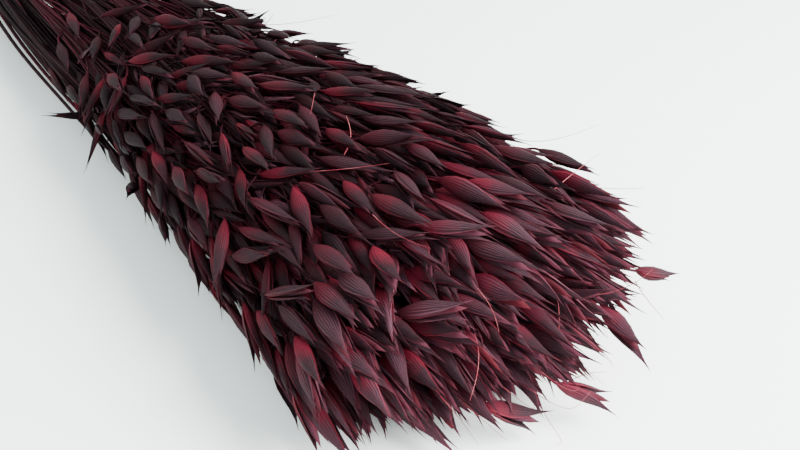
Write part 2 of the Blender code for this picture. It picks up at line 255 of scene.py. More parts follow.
class Spikelet:
    def __init__(self, stalk, root, base, direction, normal, length, width):
        self.stalk = stalk
        self.root = root
        self.base = base
        self.direction = direction
        self.normal = normal
        self.length = length
        self.width = width

    def halfWidth(self, t):
        full, plan = self.width / 2, spikeletPlan
        if t < plan["bellyAt"]:
            share, rise = plan["baseShare"], plan["bellyAt"] - plan["baseAt"]
            return full * (share + (1 - share) * (t - plan["baseAt"]) / rise)
        return full * (1 - t) / (1 - plan["bellyAt"])

    def samples(self):
        plan = spikeletPlan
        neck = self.base + self.direction * self.length * plan["baseAt"]
        steps = max(2, int((neck - self.root).length / plan["pedicelSample"]))
        wider = self.halfWidth(plan["baseAt"]) - plan["pedicelRadius"]
        found = []
        for i in range(steps):
            t = i / steps
            found.append((self.root.lerp(neck, t), plan["pedicelRadius"] + wider * t, False))
        for i in range(plan["huskSamples"]):
            t = plan["baseAt"] + (1 - plan["baseAt"]) * i / plan["huskSamples"]
            found.append((self.base + self.direction * self.length * t, self.halfWidth(t), True))
        return found


class Room:
    def __init__(self, reach):
        self.cells = {}
        self.reach = reach

    def add(self, owner, samples):
        cell = spikeletPlan["cell"]
        for point, radius, isHusk in samples:
            reach = radius + self.reach
            spans = [range(int((c - reach) // cell), int((c + reach) // cell) + 1) for c in point]
            item = (owner, *point, radius, isHusk)
            for i in spans[0]:
                for j in spans[1]:
                    for k in spans[2]:
                        self.cells.setdefault((i, j, k), []).append(item)

    def isClear(self, owner, samples, ofOwnStalk=True):
        cell = spikeletPlan["cell"]
        clearance, ownClearance = spikeletPlan["clearance"], spikeletPlan["ownClearance"]
        for (x, y, z), radius, isHusk in samples:
            near = self.cells.get((int(x // cell), int(y // cell), int(z // cell)), ())
            for other, u, v, w, size, otherHusk in near:
                if other == owner and not (ofOwnStalk and (isHusk or otherHusk)):
                    continue
                least = radius + size + (clearance if other != owner else ownClearance)
                if (u - x) ** 2 + (v - y) ** 2 + (w - z) ** 2 < least * least:
                    return False
        return True


def strawSamples(stalk):
    count = int((stalk.tipX - stalk.cutX) / spikeletPlan["strawSample"])
    stations = [stalk.cutX + (stalk.tipX - stalk.cutX) * i / count for i in range(count + 1)]
    return [(stalk.pathPoint(x), stalk.radius(x), False) for x in stations]


def turned(direction, normal, lift, aside):
    side = direction.cross(normal).normalized()
    swung = direction * math.cos(aside) + side * math.sin(aside)
    return (swung * math.cos(lift) + normal * math.sin(lift)).normalized()


def sizeOfSpikelet(rng):
    return rng.uniform(*spikeletPlan["length"]), rng.uniform(*spikeletPlan["width"])


def endSpikelet(stalk, size):
    step = spikeletPlan["endStep"]
    tip, along = stalk.point(stalk.tipX), stalk.direction(stalk.tipX)
    normal = outward(stalk.tipX, *stalk.disc(stalk.tipX))
    root = stalk.pathPoint(stalk.tipX - step)
    return Spikelet(stalk, root, tip + along * step, along, normal, *size)


def onNearestStalks(stalks, base, direction, normal, size):
    plan = spikeletPlan
    found = []
    for stalk in stalks:
        rootX = min(base.x - plan["rootBack"], stalk.tipX - plan["rootInset"])
        if rootX < stalk.startX or base.x - rootX > plan["longestRun"]:
            continue
        rachis = stalk.pathPoint(rootX)
        sideways = math.hypot(base.y - rachis.y, base.z - rachis.z)
        root = stalk.pathPoint(max(rootX - plan["rootSlope"] * sideways, stalk.startX))
        found.append(((base - root).length, stalk.index, root))
    found.sort(key=lambda item: item[:2])
    nearest = found[: plan["nearestStalks"]]
    return [Spikelet(stalks[index], root, base, direction, normal, *size) for _, index, root in nearest]


def sideSpikelet(stalks, x, angle, rng):
    plan = spikeletPlan
    a, b = math.cos(angle), math.sin(angle)
    size = sizeOfSpikelet(rng)
    base = sectionPoint(x, a, b, plan["cover"] * rng.uniform(*plan["coverShare"]))
    lift = plan["lift"] * rng.uniform(*plan["liftShare" if b > plan["underside"] else "underLiftShare"])
    aside = rng.gauss(0, plan["stray"])
    if rng.random() < plan["stragglers"]:
        aside = rng.choice((-1, 1)) * plan["stragglerTurn"] * plan["stray"]
    normal = outward(x, a, b)
    direction = turned(fanDirection(x, a, b, plan["cover"]), normal, lift, aside)
    return onNearestStalks(stalks, base, direction, normal, size)


def straySpikelet(stalks, base, tip, rng):
    base, tip = Vector(base) * mm, Vector(tip) * mm
    _, width = sizeOfSpikelet(rng)
    run = tip - base
    normal = run.cross(Vector((0, 0, 1))).cross(run).normalized()
    return onNearestStalks(stalks, base, run.normalized(), normal, (run.length, width))


def capSpikelet(stalks, reach, angle, rng):
    plan = spikeletPlan
    a, b = reach * math.cos(angle), reach * math.sin(angle)
    x = capStation(reach) + rng.uniform(*plan["capScatter"])
    size = sizeOfSpikelet(rng)
    base = sectionPoint(x, a, b, plan["cover"] * reach)
    normal = outward(x, a, b)
    lift = plan["lift"] * rng.uniform(*plan["capLiftShare"])
    direction = turned(fanDirection(x, a, b), normal, lift, rng.gauss(0, plan["stray"]))
    return onNearestStalks(stalks, base, direction, normal, size)


def newRoom():
    return Room(spikeletPlan["width"][1] / 2 + spikeletPlan["clearance"])


def endTheStalks(stalks, rng):
    room = newRoom()
    for stalk in stalks:
        room.add(stalk.index, strawSamples(stalk))
    ends = []
    for stalk in stalks:
        length, width = sizeOfSpikelet(rng)
        end = endSpikelet(stalk, (length, width))
        for _ in range(straw["mostShortenings"]):
            if room.isClear(stalk.index, end.samples(), False):
                break
            stalk.shorten(straw["shorterTip"])
            width *= straw["narrowerEnd"]
            end = endSpikelet(stalk, (length, width))
        ends.append(end)
        room.add(stalk.index, end.samples())
    return ends


def placeFirstClear(options, room, placed):
    for spikelet in options:
        samples = spikelet.samples()
        if room.isClear(spikelet.stalk.index, samples):
            placed.append(spikelet)
            room.add(spikelet.stalk.index, samples)
            return


def outerSpikelets(stalks, rng):
    plan = spikeletPlan
    placed = endTheStalks(stalks, rng)
    room = newRoom()
    for stalk, end in zip(stalks, placed):
        room.add(stalk.index, strawSamples(stalk))
        room.add(stalk.index, end.samples())
    for base, tip in plan["strays"]:
        placeFirstClear(straySpikelet(stalks, base, tip, rng), room, placed)
    sideLength = bunch["headEnd"] - bunch["capDepth"] / 2 - straw["firstSpikelet"]
    for tries in range(1, plan["mostTries"]):
        share = tries * plan["alongStep"] % 1.0
        angle = 2 * math.pi * (tries * plan["aroundStep"] % 1.0)
        if tries % plan["capEvery"] == 0:
            options = capSpikelet(stalks, math.sqrt(share), angle, rng)
        else:
            x = straw["firstSpikelet"] + sideLength * share ** plan["forwardCrowding"]
            start, end = plan["neck"]
            if x < end and rng.random() > ((x - start) / (end - start)) ** plan["neckCrowding"]:
                continue
            options = sideSpikelet(stalks, x, angle, rng)
        placeFirstClear(options, room, placed)
        if len(placed) == plan["count"]:
            break
    return placed


layoutRandom = random.Random(bunch["seed"])
stalks = [Stalk(i, layoutRandom) for i in range(bunch["stalks"])]
spikelets = outerSpikelets(stalks, layoutRandom)
print("outer spikelets:", len(spikelets))

# where the tie's middle is in the frame
tieLow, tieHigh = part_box("twine_tie")
toFrame = Vector(((tieLow.x + tieHigh.x) / 2, (tieLow.y + tieHigh.y) / 2, 0))
toFrame -= Vector((bunch["tieAt"], middle(bunch["tieAt"]), 0))

# the spikelets between and under the outer ones

filling = {
    "count": 1900,
    "tries": 40000,
    "length": (24.5 * mm, 32 * mm),
    "width": (3.8 * mm, 5.0 * mm),
    "depth": (-13 * mm, 3.5 * mm),
    "plainUnder": -5 * mm,
    "closeness": 0.70,
    "taper": 1.5,
    "leastShare": 0.1,
    "firstAt": 98 * mm,
    "firstRoot": 36 * mm,
    "crowding": 0.8,
    "neck": (96 * mm, 262 * mm),
    "neckCrowding": 2.7,
    "neckStray": 1.7,
    "sparseFrom": 305 * mm,
    "sparseness": 0.58,
    "stray": math.radians(13),
    "lift": (-0.2, 1.5),
    "underLift": (-0.3, 0.3),
    "stragglers": 0.10,
    "stragglerTurn": math.radians(34),
    "run": (12 * mm, 66 * mm),
    "longRun": (70 * mm, 120 * mm),
    "longRuns": 0.22,
    "column": 4 * mm,
    "samples": (0.1, 0.3, 0.5, 0.7, 0.92),
    # at the front of the head, in millimetres
    "capScatter": (-20, 2),
    # where the even steps along and around the head begin
    "alongStart": 0.5,
    "aroundStart": 0.3,
    "seed": 5,
}


def closeSamples(spikelet):
    # thinner than the husk, so that neighbours may press into each other a little
    found = []
    for t in filling["samples"]:
        share = min(1.0, filling["taper"] * (1 - t) + filling["leastShare"])
        radius = filling["closeness"] * spikelet.width / 2 * share
        found.append((spikelet.base + spikelet.direction * spikelet.length * t, radius, True))
    return found


def rachisColumns(stalks):
    # where each rachis stands, column by column along the bunch
    columns = {}
    for stalk in stalks:
        column = int(filling["firstRoot"] // filling["column"])
        while column * filling["column"] < stalk.tipX:
            columns.setdefault(column, []).append((stalk, stalk.point(column * filling["column"])))
            column += 1
    return columns


def nearestRoot(columns, base, rng):
    run = rng.uniform(*filling["longRun" if rng.random() < filling["longRuns"] else "run"])
    rootX = max(base.x - run, filling["firstRoot"])
    nearby = columns[int(rootX // filling["column"])]
    return min(nearby, key=lambda item: (base.y - item[1].y) ** 2 + (base.z - item[1].z) ** 2)


def isInBox(point):
    # the frame's box, in the layout's place
    low, high = cadBox
    return all(low[k] <= point[k] + toFrame[k] <= high[k] for k in (0, 1)) and point.z <= high[2]


def fillingSpikelets(stalks, outer):
    rng = random.Random(filling["seed"])
    room = Room(filling["width"][1] / 2)
    for spikelet in outer:
        room.add(-1, closeSamples(spikelet))
    columns = rachisColumns(stalks)
    sideLength = bunch["headEnd"] - bunch["capDepth"] / 2 - filling["firstAt"]
    neckStart, neckEnd = filling["neck"]
    placed = []
    for tries in range(1, filling["tries"]):
        share = (filling["alongStart"] + tries * spikeletPlan["alongStep"]) % 1.0
        angle = 2 * math.pi * ((filling["aroundStart"] + tries * spikeletPlan["aroundStep"]) % 1.0)
        depth = rng.uniform(*filling["depth"])
        length, width = rng.uniform(*filling["length"]), rng.uniform(*filling["width"])
        if tries % spikeletPlan["capEvery"] == 0:
            reach = math.sqrt(share)
            x, depth = capStation(reach) + rng.uniform(*filling["capScatter"]) * mm, 0.0
        else:
            reach = 1.0
            x = filling["firstAt"] + sideLength * share ** filling["crowding"]
            pastNeck = (x - neckStart) / (neckEnd - neckStart)
            if x < neckEnd and rng.random() > pastNeck ** filling["neckCrowding"]:
                continue
            if x > filling["sparseFrom"] and rng.random() < filling["sparseness"]:
                continue
        a, b = reach * math.cos(angle), reach * math.sin(angle)
        base, normal = sectionPoint(x, a, b, depth), outward(x, a, b)
        kind = "lift" if b > spikeletPlan["underside"] else "underLift"
        lift = spikeletPlan["lift"] * rng.uniform(*filling[kind])
        inNeck = max(0.0, min(1.0, (neckEnd - x) / (neckEnd - neckStart)))
        aside = rng.gauss(0, filling["stray"]) * (1 + filling["neckStray"] * inNeck)
        if rng.random() < filling["stragglers"]:
            aside = rng.choice((-1, 1)) * filling["stragglerTurn"]
        direction = turned(fanDirection(x, a, b, depth), normal, lift, aside)
        spikelet = Spikelet(None, None, base, direction, normal, length, width)
        samples = closeSamples(spikelet)
        if not (isInBox(base + direction * length) and room.isClear(-2, samples)):
            continue
        spikelet.stalk, root = nearestRoot(columns, base, rng)
        spikelet.root = root.copy()
        spikelet.isPlain = depth < filling["plainUnder"]
        spikelet.isExtra = True
        placed.append(spikelet)
        room.add(-2, samples)
        if len(placed) == filling["count"]:
            break
    return placed


extras = fillingSpikelets(stalks, spikelets)
for spikelet in spikelets:
    spikelet.isPlain = False
    spikelet.isExtra = False
# the first spikelets end the stalks, and the next ones are the strays
strays = spikelets[len(stalks) : len(stalks) + len(spikeletPlan["strays"])]
print("filling spikelets:", len(extras))

# the materials


class Wire:
    # one output socket, with arithmetic that adds Math nodes
    def __init__(self, shader, socket):
        self.shader = shader
        self.socket = socket

    def math(self, operation, first, second):
        return self.shader.node("ShaderNodeMath", {"operation": operation}, {0: first, 1: second})

    def __add__(self, other):
        return self.math("ADD", self, other)

    def __radd__(self, other):
        return self.math("ADD", other, self)

    def __sub__(self, other):
        return self.math("SUBTRACT", self, other)

    def __rsub__(self, other):
        return self.math("SUBTRACT", other, self)

    def __mul__(self, other):
        return self.math("MULTIPLY", self, other)

    def __rmul__(self, other):
        return self.math("MULTIPLY", other, self)

    def __abs__(self):
        return self.shader.node("ShaderNodeMath", {"operation": "ABSOLUTE"}, {0: self})

    def sine(self):
        return self.shader.node("ShaderNodeMath", {"operation": "SINE"}, {0: self})


class Shader:
    def __init__(self, name, **constants):
        self.material = bpy.data.materials.new(name)
        self.material.use_nodes = True
        self.tree = self.material.node_tree
        self.surface = self.tree.nodes["Principled BSDF"]
        for socket, value in constants.items():
            self.surface.inputs[socket.replace("_", " ")].default_value = value

    def node(self, kind, settings=None, inputs=None, output=0):
        made = self.tree.nodes.new(kind)
        for key, value in (settings or {}).items():
            setattr(made, key, value)
        for key, value in (inputs or {}).items():
            self.connect(made.inputs[key], value)
        return Wire(self, made.outputs[output])

    def connect(self, socket, value):
        if isinstance(value, Wire):
            self.tree.links.new(value.socket, socket)
        else:
            socket.default_value = value

    def paint(self, **values):
        for socket, value in values.items():
            self.connect(self.surface.inputs[socket.replace("_", " ")], value)

    def mixed(self, share, first, second):
        settings = {"data_type": "RGBA", "clamp_factor": True}
        return self.node("ShaderNodeMix", settings, {0: share, 6: first, 7: second}, 2)

    def ranged(self, value, low, high, toLow=0.0, toHigh=1.0, smooth=True):
        settings = {"interpolation_type": "SMOOTHSTEP" if smooth else "LINEAR"}
        inputs = {0: value, 1: low, 2: high, 3: toLow, 4: toHigh}
        return self.node("ShaderNodeMapRange", settings, inputs)

    def noise(self, vector, scale, detail=2.0, roughness=0.5):
        inputs = {"Vector": vector, "Scale": scale, "Detail": detail, "Roughness": roughness}
        return self.node("ShaderNodeTexNoise", None, inputs)

    def stretched(self, vector, scale):
        return self.node("ShaderNodeMapping", None, {"Vector": vector, "Scale": scale})

    def objectPlace(self):
        return self.node("ShaderNodeTexCoord", None, None, "Object")

    def bumped(self, height, strength, distance):
        inputs = {"Height": height, "Strength": strength, "Distance": distance}
        return self.node("ShaderNodeBump", None, inputs)

    def channel(self, colour, name):
        return self.node("ShaderNodeSeparateColor", None, {0: colour}, name)

    def part(self, vector, name):
        return self.node("ShaderNodeSeparateXYZ", None, {0: vector}, name)

    def dyeAndPaintedLightOfSpikelet(self, name):
        return self.node("ShaderNodeAttribute", {"attribute_name": "dye"}, None, name)

    def placeOnHusk(self):
        return self.node("ShaderNodeUVMap", {"uv_map": "husk"}, None)


dye = {
    "dark": (0.0120, 0.0072, 0.0092, 1),
    "burgundy": (0.048, 0.0130, 0.0225, 1),
    "red": (0.200, 0.0085, 0.0270, 1),
    # the grey bloom, partly painted sheen: its grey stands in for a sheen
    "bloomAndSheen": (0.076, 0.044, 0.057, 1),
    "line": (0.125, 0.032, 0.055, 1),
    "edge": (0.19, 0.0095, 0.024, 1),
    "tan": (0.42, 0.17, 0.06, 1),
    "floret": (0.046, 0.0046, 0.0080, 1),
    "straw": (0.0125, 0.0046, 0.0064, 1),
    "strawLight": (0.044, 0.0080, 0.0150, 1),
    "strawRed": (0.110, 0.0070, 0.0240, 1),
    "awn": (0.26, 0.07, 0.075, 1),
    # painted shade: the colours are darkened most behind the first of these places along the frame, towards
    # the back of the head, and not at all past the second
    "shadeFullBehind": 0.225,
    "shadeEndsPast": 0.29,
    "paintedShadeDepth": 0.57,
}


huskFinish = {
    "roughness": (0.74, 0.52),
    "patches": 240.0,
    "fibres": (30.0, 2.4, 1.0),
    "ribs": 25.0,
    "ribShift": 9.0,
    "ribWaver": 1.8,
    "groove": 0.55,
    "redBase": 0.85,
    "missed": 0.8,
    # the least share of each, and what a full dye adds to it
    "ribBloomAndSheen": (0.25, 0.6),
    "line": (0.12, 0.45),
    "redFibre": (0.15, 0.6),
    "rim": (0.12, 0.5),
    "tip": (0.06, 0.24),
    "relief": (0.55, 0.0003),
}


# painted shade: darkens a colour towards the back of the head, scaled by the given switch
def withPaintedShadeBehind(s, place, colour, takesPaintedShade):
    start, end = dye["shadeFullBehind"], dye["shadeEndsPast"]
    behind = s.ranged(s.part(place, "X"), start, end, dye["paintedShadeDepth"], 0.0) * takesPaintedShade
    return s.mixed(behind, colour, (0.0, 0.0, 0.0, 1))


def grown(shares, value):
    least, more = shares
    return least + value * more


def huskMaterial():
    look = huskFinish
    s = Shader("dyedHusk", Roughness=0.6, Specular_IOR_Level=0.06)
    place, spread = s.objectPlace(), s.placeOnHusk()
    across, along = s.part(spread, "X"), s.part(spread, "Y")
    # the dye attribute's alpha switches on the painted shade towards the back; the plain husks have it at 0
    values, takesPaintedShade = s.dyeAndPaintedLightOfSpikelet("Color"), s.dyeAndPaintedLightOfSpikelet("Alpha")
    tint, red, bloomAndSheen = s.channel(values, "Red"), s.channel(values, "Green"), s.channel(values, "Blue")
    patches = s.noise(place, look["patches"], 3.0, 0.6)
    grain = s.noise(s.stretched(spread, look["fibres"]), 1.0, 3.0, 0.6)
    shift = tint * look["ribShift"] + (grain - 0.5) * look["ribWaver"]
    wave = (across * look["ribs"] + shift).sine() * 0.5 + 0.5
    rib = s.ranged(wave, 0.25, 0.95)
    # dark to burgundy by husk and by patch
    colour = s.mixed(s.ranged(tint * 0.75 + patches * 0.5, 0.25, 0.95), dye["dark"], dye["burgundy"])
    # the grey bloom lies on the ribs, away from the base; its grey is raised to stand in for the sheen, so
    # it is partly painted sheen
    high = s.ranged(along, 0.10, 0.45) * bloomAndSheen
    colour = s.mixed(high * grown(look["ribBloomAndSheen"], rib), colour, dye["bloomAndSheen"])
    colour = s.mixed((1 - rib) * look["groove"], colour, dye["dark"])
    crest = s.ranged(wave, 0.80, 1.0)
    colour = s.mixed(crest * grown(look["line"], bloomAndSheen), colour, dye["line"])
    # red runs up from the base, and in a fibre here and there
    fromBase = s.ranged(along + (patches - 0.5) * 0.4, 0.10, 0.62, 1.0, 0.0)
    colour = s.mixed(fromBase * red * look["redBase"], colour, dye["red"])
    fibre = s.ranged(grain, 0.62, 0.74) * grown(look["redFibre"], red)
    colour = s.mixed(fibre, colour, dye["red"])
    # the rims and the drawn-out tips catch the dye brightest
    rim = s.ranged(abs(across), 0.89, 1.0)
    tip = s.ranged(along + (patches - 0.5) * 0.2, 0.74, 1.0)
    colour = s.mixed(rim * grown(look["rim"], red), colour, dye["edge"])
    colour = s.mixed(tip * grown(look["tip"], red), colour, dye["edge"])
    # the dye missed a few tips
    missed = s.ranged(along, 0.86, 1.0) * s.ranged(tint, 0.88, 0.94)
    colour = s.mixed(missed * look["missed"], colour, dye["tan"])
    # the base colour gets painted shade towards the back of the head
    s.paint(
        Base_Color=withPaintedShadeBehind(s, place, colour, takesPaintedShade),
        Roughness=s.ranged(rib * 0.6 + patches * 0.5, 0.1, 1.0, *look["roughness"], False),
        Normal=s.bumped(rib + grain * 0.5, *look["relief"]),
    )
    return s.material


floretFinish = {
    "fibres": (18.0, 2.0, 1.0),
    "redFibre": 0.6,
    "tip": 0.06,
    "relief": (0.5, 0.0003),
}


def floretMaterial():
    s = Shader("dyedFloret", Roughness=0.7, Specular_IOR_Level=0.08)
    place, spread = s.objectPlace(), s.placeOnHusk()
    along = s.part(spread, "Y")
    tint = s.channel(s.dyeAndPaintedLightOfSpikelet("Color"), "Red")
    grain = s.noise(s.stretched(spread, floretFinish["fibres"]), 1.0, 3.0, 0.6)
    bright = s.ranged(tint * 0.8 + grain * 0.5, 0.3, 1.0)
    colour = s.mixed(bright, dye["burgundy"], dye["floret"])
    fibre = s.ranged(grain, 0.60, 0.72) * floretFinish["redFibre"]
    colour = s.mixed(fibre, colour, dye["red"])
    colour = s.mixed(s.ranged(along, 0.75, 1.0) * floretFinish["tip"], colour, dye["edge"])
    relief = s.bumped(grain, *floretFinish["relief"])
    # the base colour gets painted shade towards the back of the head
    s.paint(Base_Color=withPaintedShadeBehind(s, place, colour, 1.0), Normal=relief)
    return s.material


strawFinish = {
    "roughness": (0.62, 0.80),
    "fibres": (40.0, 900.0, 900.0),
    "patches": (14.0, 90.0, 90.0),
    "relief": (0.4, 0.0003),
}


def strawMaterial():
    s = Shader("dyedStraw", Roughness=0.7, Specular_IOR_Level=0.05)
    place = s.objectPlace()
    fibres = s.noise(s.stretched(place, strawFinish["fibres"]), 1.0, 3.0, 0.6)
    patches = s.noise(s.stretched(place, strawFinish["patches"]), 1.0, 2.0)
    red = s.channel(s.dyeAndPaintedLightOfSpikelet("Color"), "Green")
    light = s.ranged(fibres * 0.6 + patches * 0.6, 0.4, 0.85)
    colour = s.mixed(light, dye["straw"], dye["strawLight"])
    streaks = s.ranged(fibres * 0.5 + patches * 0.7, 0.35, 0.8)
    colour = s.mixed(red * streaks, colour, dye["strawRed"])
    # the base colour gets painted shade towards the back of the head
    s.paint(
        Base_Color=withPaintedShadeBehind(s, place, colour, 1.0),
        Roughness=s.ranged(fibres, 0.3, 0.7, *strawFinish["roughness"]),
        Normal=s.bumped(fibres, *strawFinish["relief"]),
    )
    return s.material


def awnMaterial():
    s = Shader("dyedAwn", Roughness=0.6, Specular_IOR_Level=0.3)
    patches = s.noise(s.objectPlace(), 160.0, 2.0)
    s.paint(Base_Color=s.mixed(s.ranged(patches, 0.35, 0.65), dye["edge"], dye["awn"]))
    return s.material


twineFinish = {
    "fibres": (1500.0, 700.0, 700.0),
    "patches": 160.0,
    "wear": 0.35,
    "relief": (0.7, 0.0004),
    "dark": (0.17, 0.095, 0.042, 1),
    "pale": (0.52, 0.36, 0.20, 1),
    "worn": (0.30, 0.17, 0.085, 1),
}


def twineMaterial():
    s = Shader("twine", Roughness=0.85, Specular_IOR_Level=0.2)
    place = s.objectPlace()
    fibres = s.noise(s.stretched(place, twineFinish["fibres"]), 1.0, 4.0, 0.65)
    patches = s.noise(place, twineFinish["patches"], 2.0)
    colour = s.mixed(s.ranged(fibres, 0.3, 0.7), twineFinish["dark"], twineFinish["pale"])
    worn = s.ranged(patches, 0.4, 0.7) * twineFinish["wear"]
    colour = s.mixed(worn, colour, twineFinish["worn"])
    s.paint(Base_Color=colour, Normal=s.bumped(fibres, *twineFinish["relief"]))
    return s.material


husk = huskMaterial()
floret = floretMaterial()
strawSkin = strawMaterial()
awnSkin = awnMaterial()
twine = twineMaterial()
huskSlot, floretSlot, strawSlot, awnSlot = 0, 1, 2, 3
print("materials made")

# the shapes of the spikelets

husks = {
    # how far along, and how full there
    "fineRows": (
        (0, 0),
        (0.04, 0.26),
        (0.13, 0.62),
        (0.25, 0.92),
        (0.38, 1.0),
        (0.54, 0.79),
        (0.70, 0.42),
        (0.85, 0.13),
        (1, 0),
    ),
    "plainRows": ((0, 0), (0.13, 0.68), (0.34, 1.0), (0.66, 0.44), (1, 0)),
    "thickness": 0.66,
    "innerShare": 0.42,
    "slender": 10.0,
    "splitFrom": 2.1,
    "baseSplit": 0.12,
    "swayFrom": 2.4,
    "variants": 16,
    # the least gape, what the widest adds, and how late it grows over the variants
    "gape": (0.004, 0.095, 2.2),
    "gapeShare": (0.5, 1.4),
    "sway": (-0.5, 0.5),
    "ownSway": (-0.45, 0.45),
    "depth": (0.88, 1.04),
    "curl": (-0.08, 0.40),
    "secondLength": (0.84, 0.97),
    "secondWidth": (0.92, 1.05),
    "rimMargin": 0.01,
    "seed": 11,
}

florets = {
    "around": 6,
    "rows": 5,
    "start": 0.04,
    "length": (0.7, 0.86),
    "sway": (-0.2, 0.2),
    "fullness": 0.70,
    "thickness": 0.62,
    "bluntness": 0.8,
}
# where a glume's points stand across it, in degrees, out over its back and home along its inside
fineTurns = (-90, -54, -18, 18, 54, 90, 35, -35)
plainTurns = (-90, -30, 30, 90, 25, -25)


def shapeGlume(bm, rows, turns, look, upside):
    # one glume, from a sphere: length 1 along X, half width 1 across Y, its back towards upside
    made = bmesh.ops.create_uvsphere(bm, u_segments=len(turns), v_segments=len(rows) - 1, radius=1.0)
    along, across = bm.verts.layers.float["along"], bm.verts.layers.float["across"]
    for vert in made["verts"]:
        polar = math.acos(max(-1.0, min(1.0, vert.co.z)))
        t, half = rows[round(polar / math.pi * (len(rows) - 1))]
        k = round(math.atan2(vert.co.y, vert.co.x) / (2 * math.pi) * len(turns)) % len(turns)
        turn = math.radians(turns[k])
        inside = husks["innerShare"] if abs(turns[k]) < 90 and k >= len(turns) - 2 else 1.0
        vert[along] = t
        vert[across] = math.sin(turn) if 0.0 < t < 1.0 else 0.0
        y = half * look["width"] * math.sin(turn) + look["sway"] * t ** husks["swayFrom"]
        z = husks["thickness"] * half * math.cos(turn) * inside * look["depth"]
        split = husks["baseSplit"] * t + t ** husks["splitFrom"]
        z += split * look["open"] * husks["slender"] + look["curl"] * t**3
        vert.co = Vector((t * look["length"], y, z * upside))


def shapeFloret(bm, look):
    around, rows = florets["around"], florets["rows"]
    made = bmesh.ops.create_uvsphere(bm, u_segments=around, v_segments=rows, radius=1.0)
    along, across = bm.verts.layers.float["along"], bm.verts.layers.float["across"]
    for vert in made["verts"]:
        t = math.acos(max(-1.0, min(1.0, vert.co.z))) / math.pi
        turn = math.atan2(vert.co.y, vert.co.x)
        half = florets["fullness"] * math.sin(math.pi * t ** florets["bluntness"]) ** florets["bluntness"]
        vert[along] = t
        vert[across] = math.sin(turn)
        x = florets["start"] + look["length"] * t
        y = half * math.cos(turn) + look["sway"] * t
        vert.co = Vector((x, y, florets["thickness"] * half * math.sin(turn)))


def isRim(edge, across):
    # where the back of a glume turns over to its inside
    isOnSide = all(abs(abs(vert[across]) - 1.0) < husks["rimMargin"] for vert in edge.verts)
    return isOnSide and edge.link_faces[0].material_index == huskSlot


def spikeletShape(name, rng, openness, isPlain):
    bm = bmesh.new()
    bm.verts.layers.float.new("along")
    bm.verts.layers.float.new("across")
    uv = bm.loops.layers.uv.new("husk")
    rows, turns = (husks["plainRows"], plainTurns) if isPlain else (husks["fineRows"], fineTurns)
    sway = rng.uniform(*husks["sway"])
    for upside in (1, -1):
        look = {
            "length": 1.0 if upside == 1 else rng.uniform(*husks["secondLength"]),
            "width": 1.0 if upside == 1 else rng.uniform(*husks["secondWidth"]),
            "depth": rng.uniform(*husks["depth"]),
            "sway": sway + rng.uniform(*husks["ownSway"]),
            "open": openness * rng.uniform(*husks["gapeShare"]),
            "curl": rng.uniform(*husks["curl"]),
        }
        shapeGlume(bm, rows, turns, look, upside)
    if not isPlain:
        glumeFaces = set(bm.faces)
        look = {"length": rng.uniform(*florets["length"]), "sway": rng.uniform(*florets["sway"])}
        shapeFloret(bm, look)
        for face in bm.faces:
            if face not in glumeFaces:
                face.material_index = floretSlot
    bmesh.ops.recalc_face_normals(bm, faces=bm.faces)
    along, across = bm.verts.layers.float["along"], bm.verts.layers.float["across"]
    for face in bm.faces:
        face.smooth = True
        for loop in face.loops:
            loop[uv].uv = (loop.vert[across], loop.vert[along])
    # the glumes' rims stay crisp
    for edge in bm.edges:
        if isRim(edge, across):
            edge.smooth = False
    bm.verts.layers.float.remove(along)
    bm.verts.layers.float.remove(bm.verts.layers.float["across"])
    mesh = bpy.data.meshes.new(name)
    bm.to_mesh(mesh)
    bm.free()
    return mesh


def spikeletShapes():
    rng = random.Random(husks["seed"])
    fine, plain = [], []
    least, more, lateness = husks["gape"]
    for i in range(husks["variants"]):
        openness = least + more * (i / (husks["variants"] - 1)) ** lateness
        fine.append(spikeletShape(f"fineSpikelet{i:02d}", rng, openness, False))
        plain.append(spikeletShape(f"plainSpikelet{i:02d}", rng, openness, True))
    return fine, plain


fineShapes, plainShapes = spikeletShapes()
print("spikelet shapes:", len(fineShapes), "fine and", len(plainShapes), "plain")

# the stalks

stalkLook = {
    "strawStep": 7 * mm,
    "tipShare": 0.6,
    "wander": 0.35 * mm,
    "sidewaysWaves": (61, 137),
    "upwardWaves": (71, 151),
    "secondWave": 0.6,
    "firstJoint": (20, 110),  # in millimetres
    "jointEvery": (120 * mm, 170 * mm),
    "jointSwell": 1.28,
    "jointLength": 1.3 * mm,
    "jointShoulder": 1.6,
    "jointReach": 1.1,
    "cutDepth": 0.3 * mm,
    "cutFacing": 0.8,
    "hollow": 0.55 * mm,
    "hollowDepth": 5 * mm,
    "pedicel": 0.30 * mm,
    "pedicelEnd": 0.52 * mm,
    "pedicelSag": 2.2 * mm,
    "pedicelTurn": 8 * mm,
    "fullSagFrom": 20 * mm,
    "sagUpwards": (-0.6, 1),
    "leaveShare": 0.30,
    "outerWidth": 0.87,
    # husks gape wider towards the front of the head
    "front": (300 * mm, 375 * mm),
    "frontWidth": 0.32,
    "frontOpen": 0.5,
    "facing": 0.52,
    "faceTurn": math.radians(24),
    "redStems": 2.5,
    "awnShare": 0.035,
    "awnLength": (14 * mm, 30 * mm),
    "awnFrom": 0.78,
    "awnBend": 0.42,
    "awnTaper": (1.5, 1.3, 1.1, 1.0, 0.8, 0.5),
    "longAwnTaper": (2.0, 1.8, 1.6, 1.3, 0.8),
    "awn": 0.09 * mm,
    "seed": 23,
}

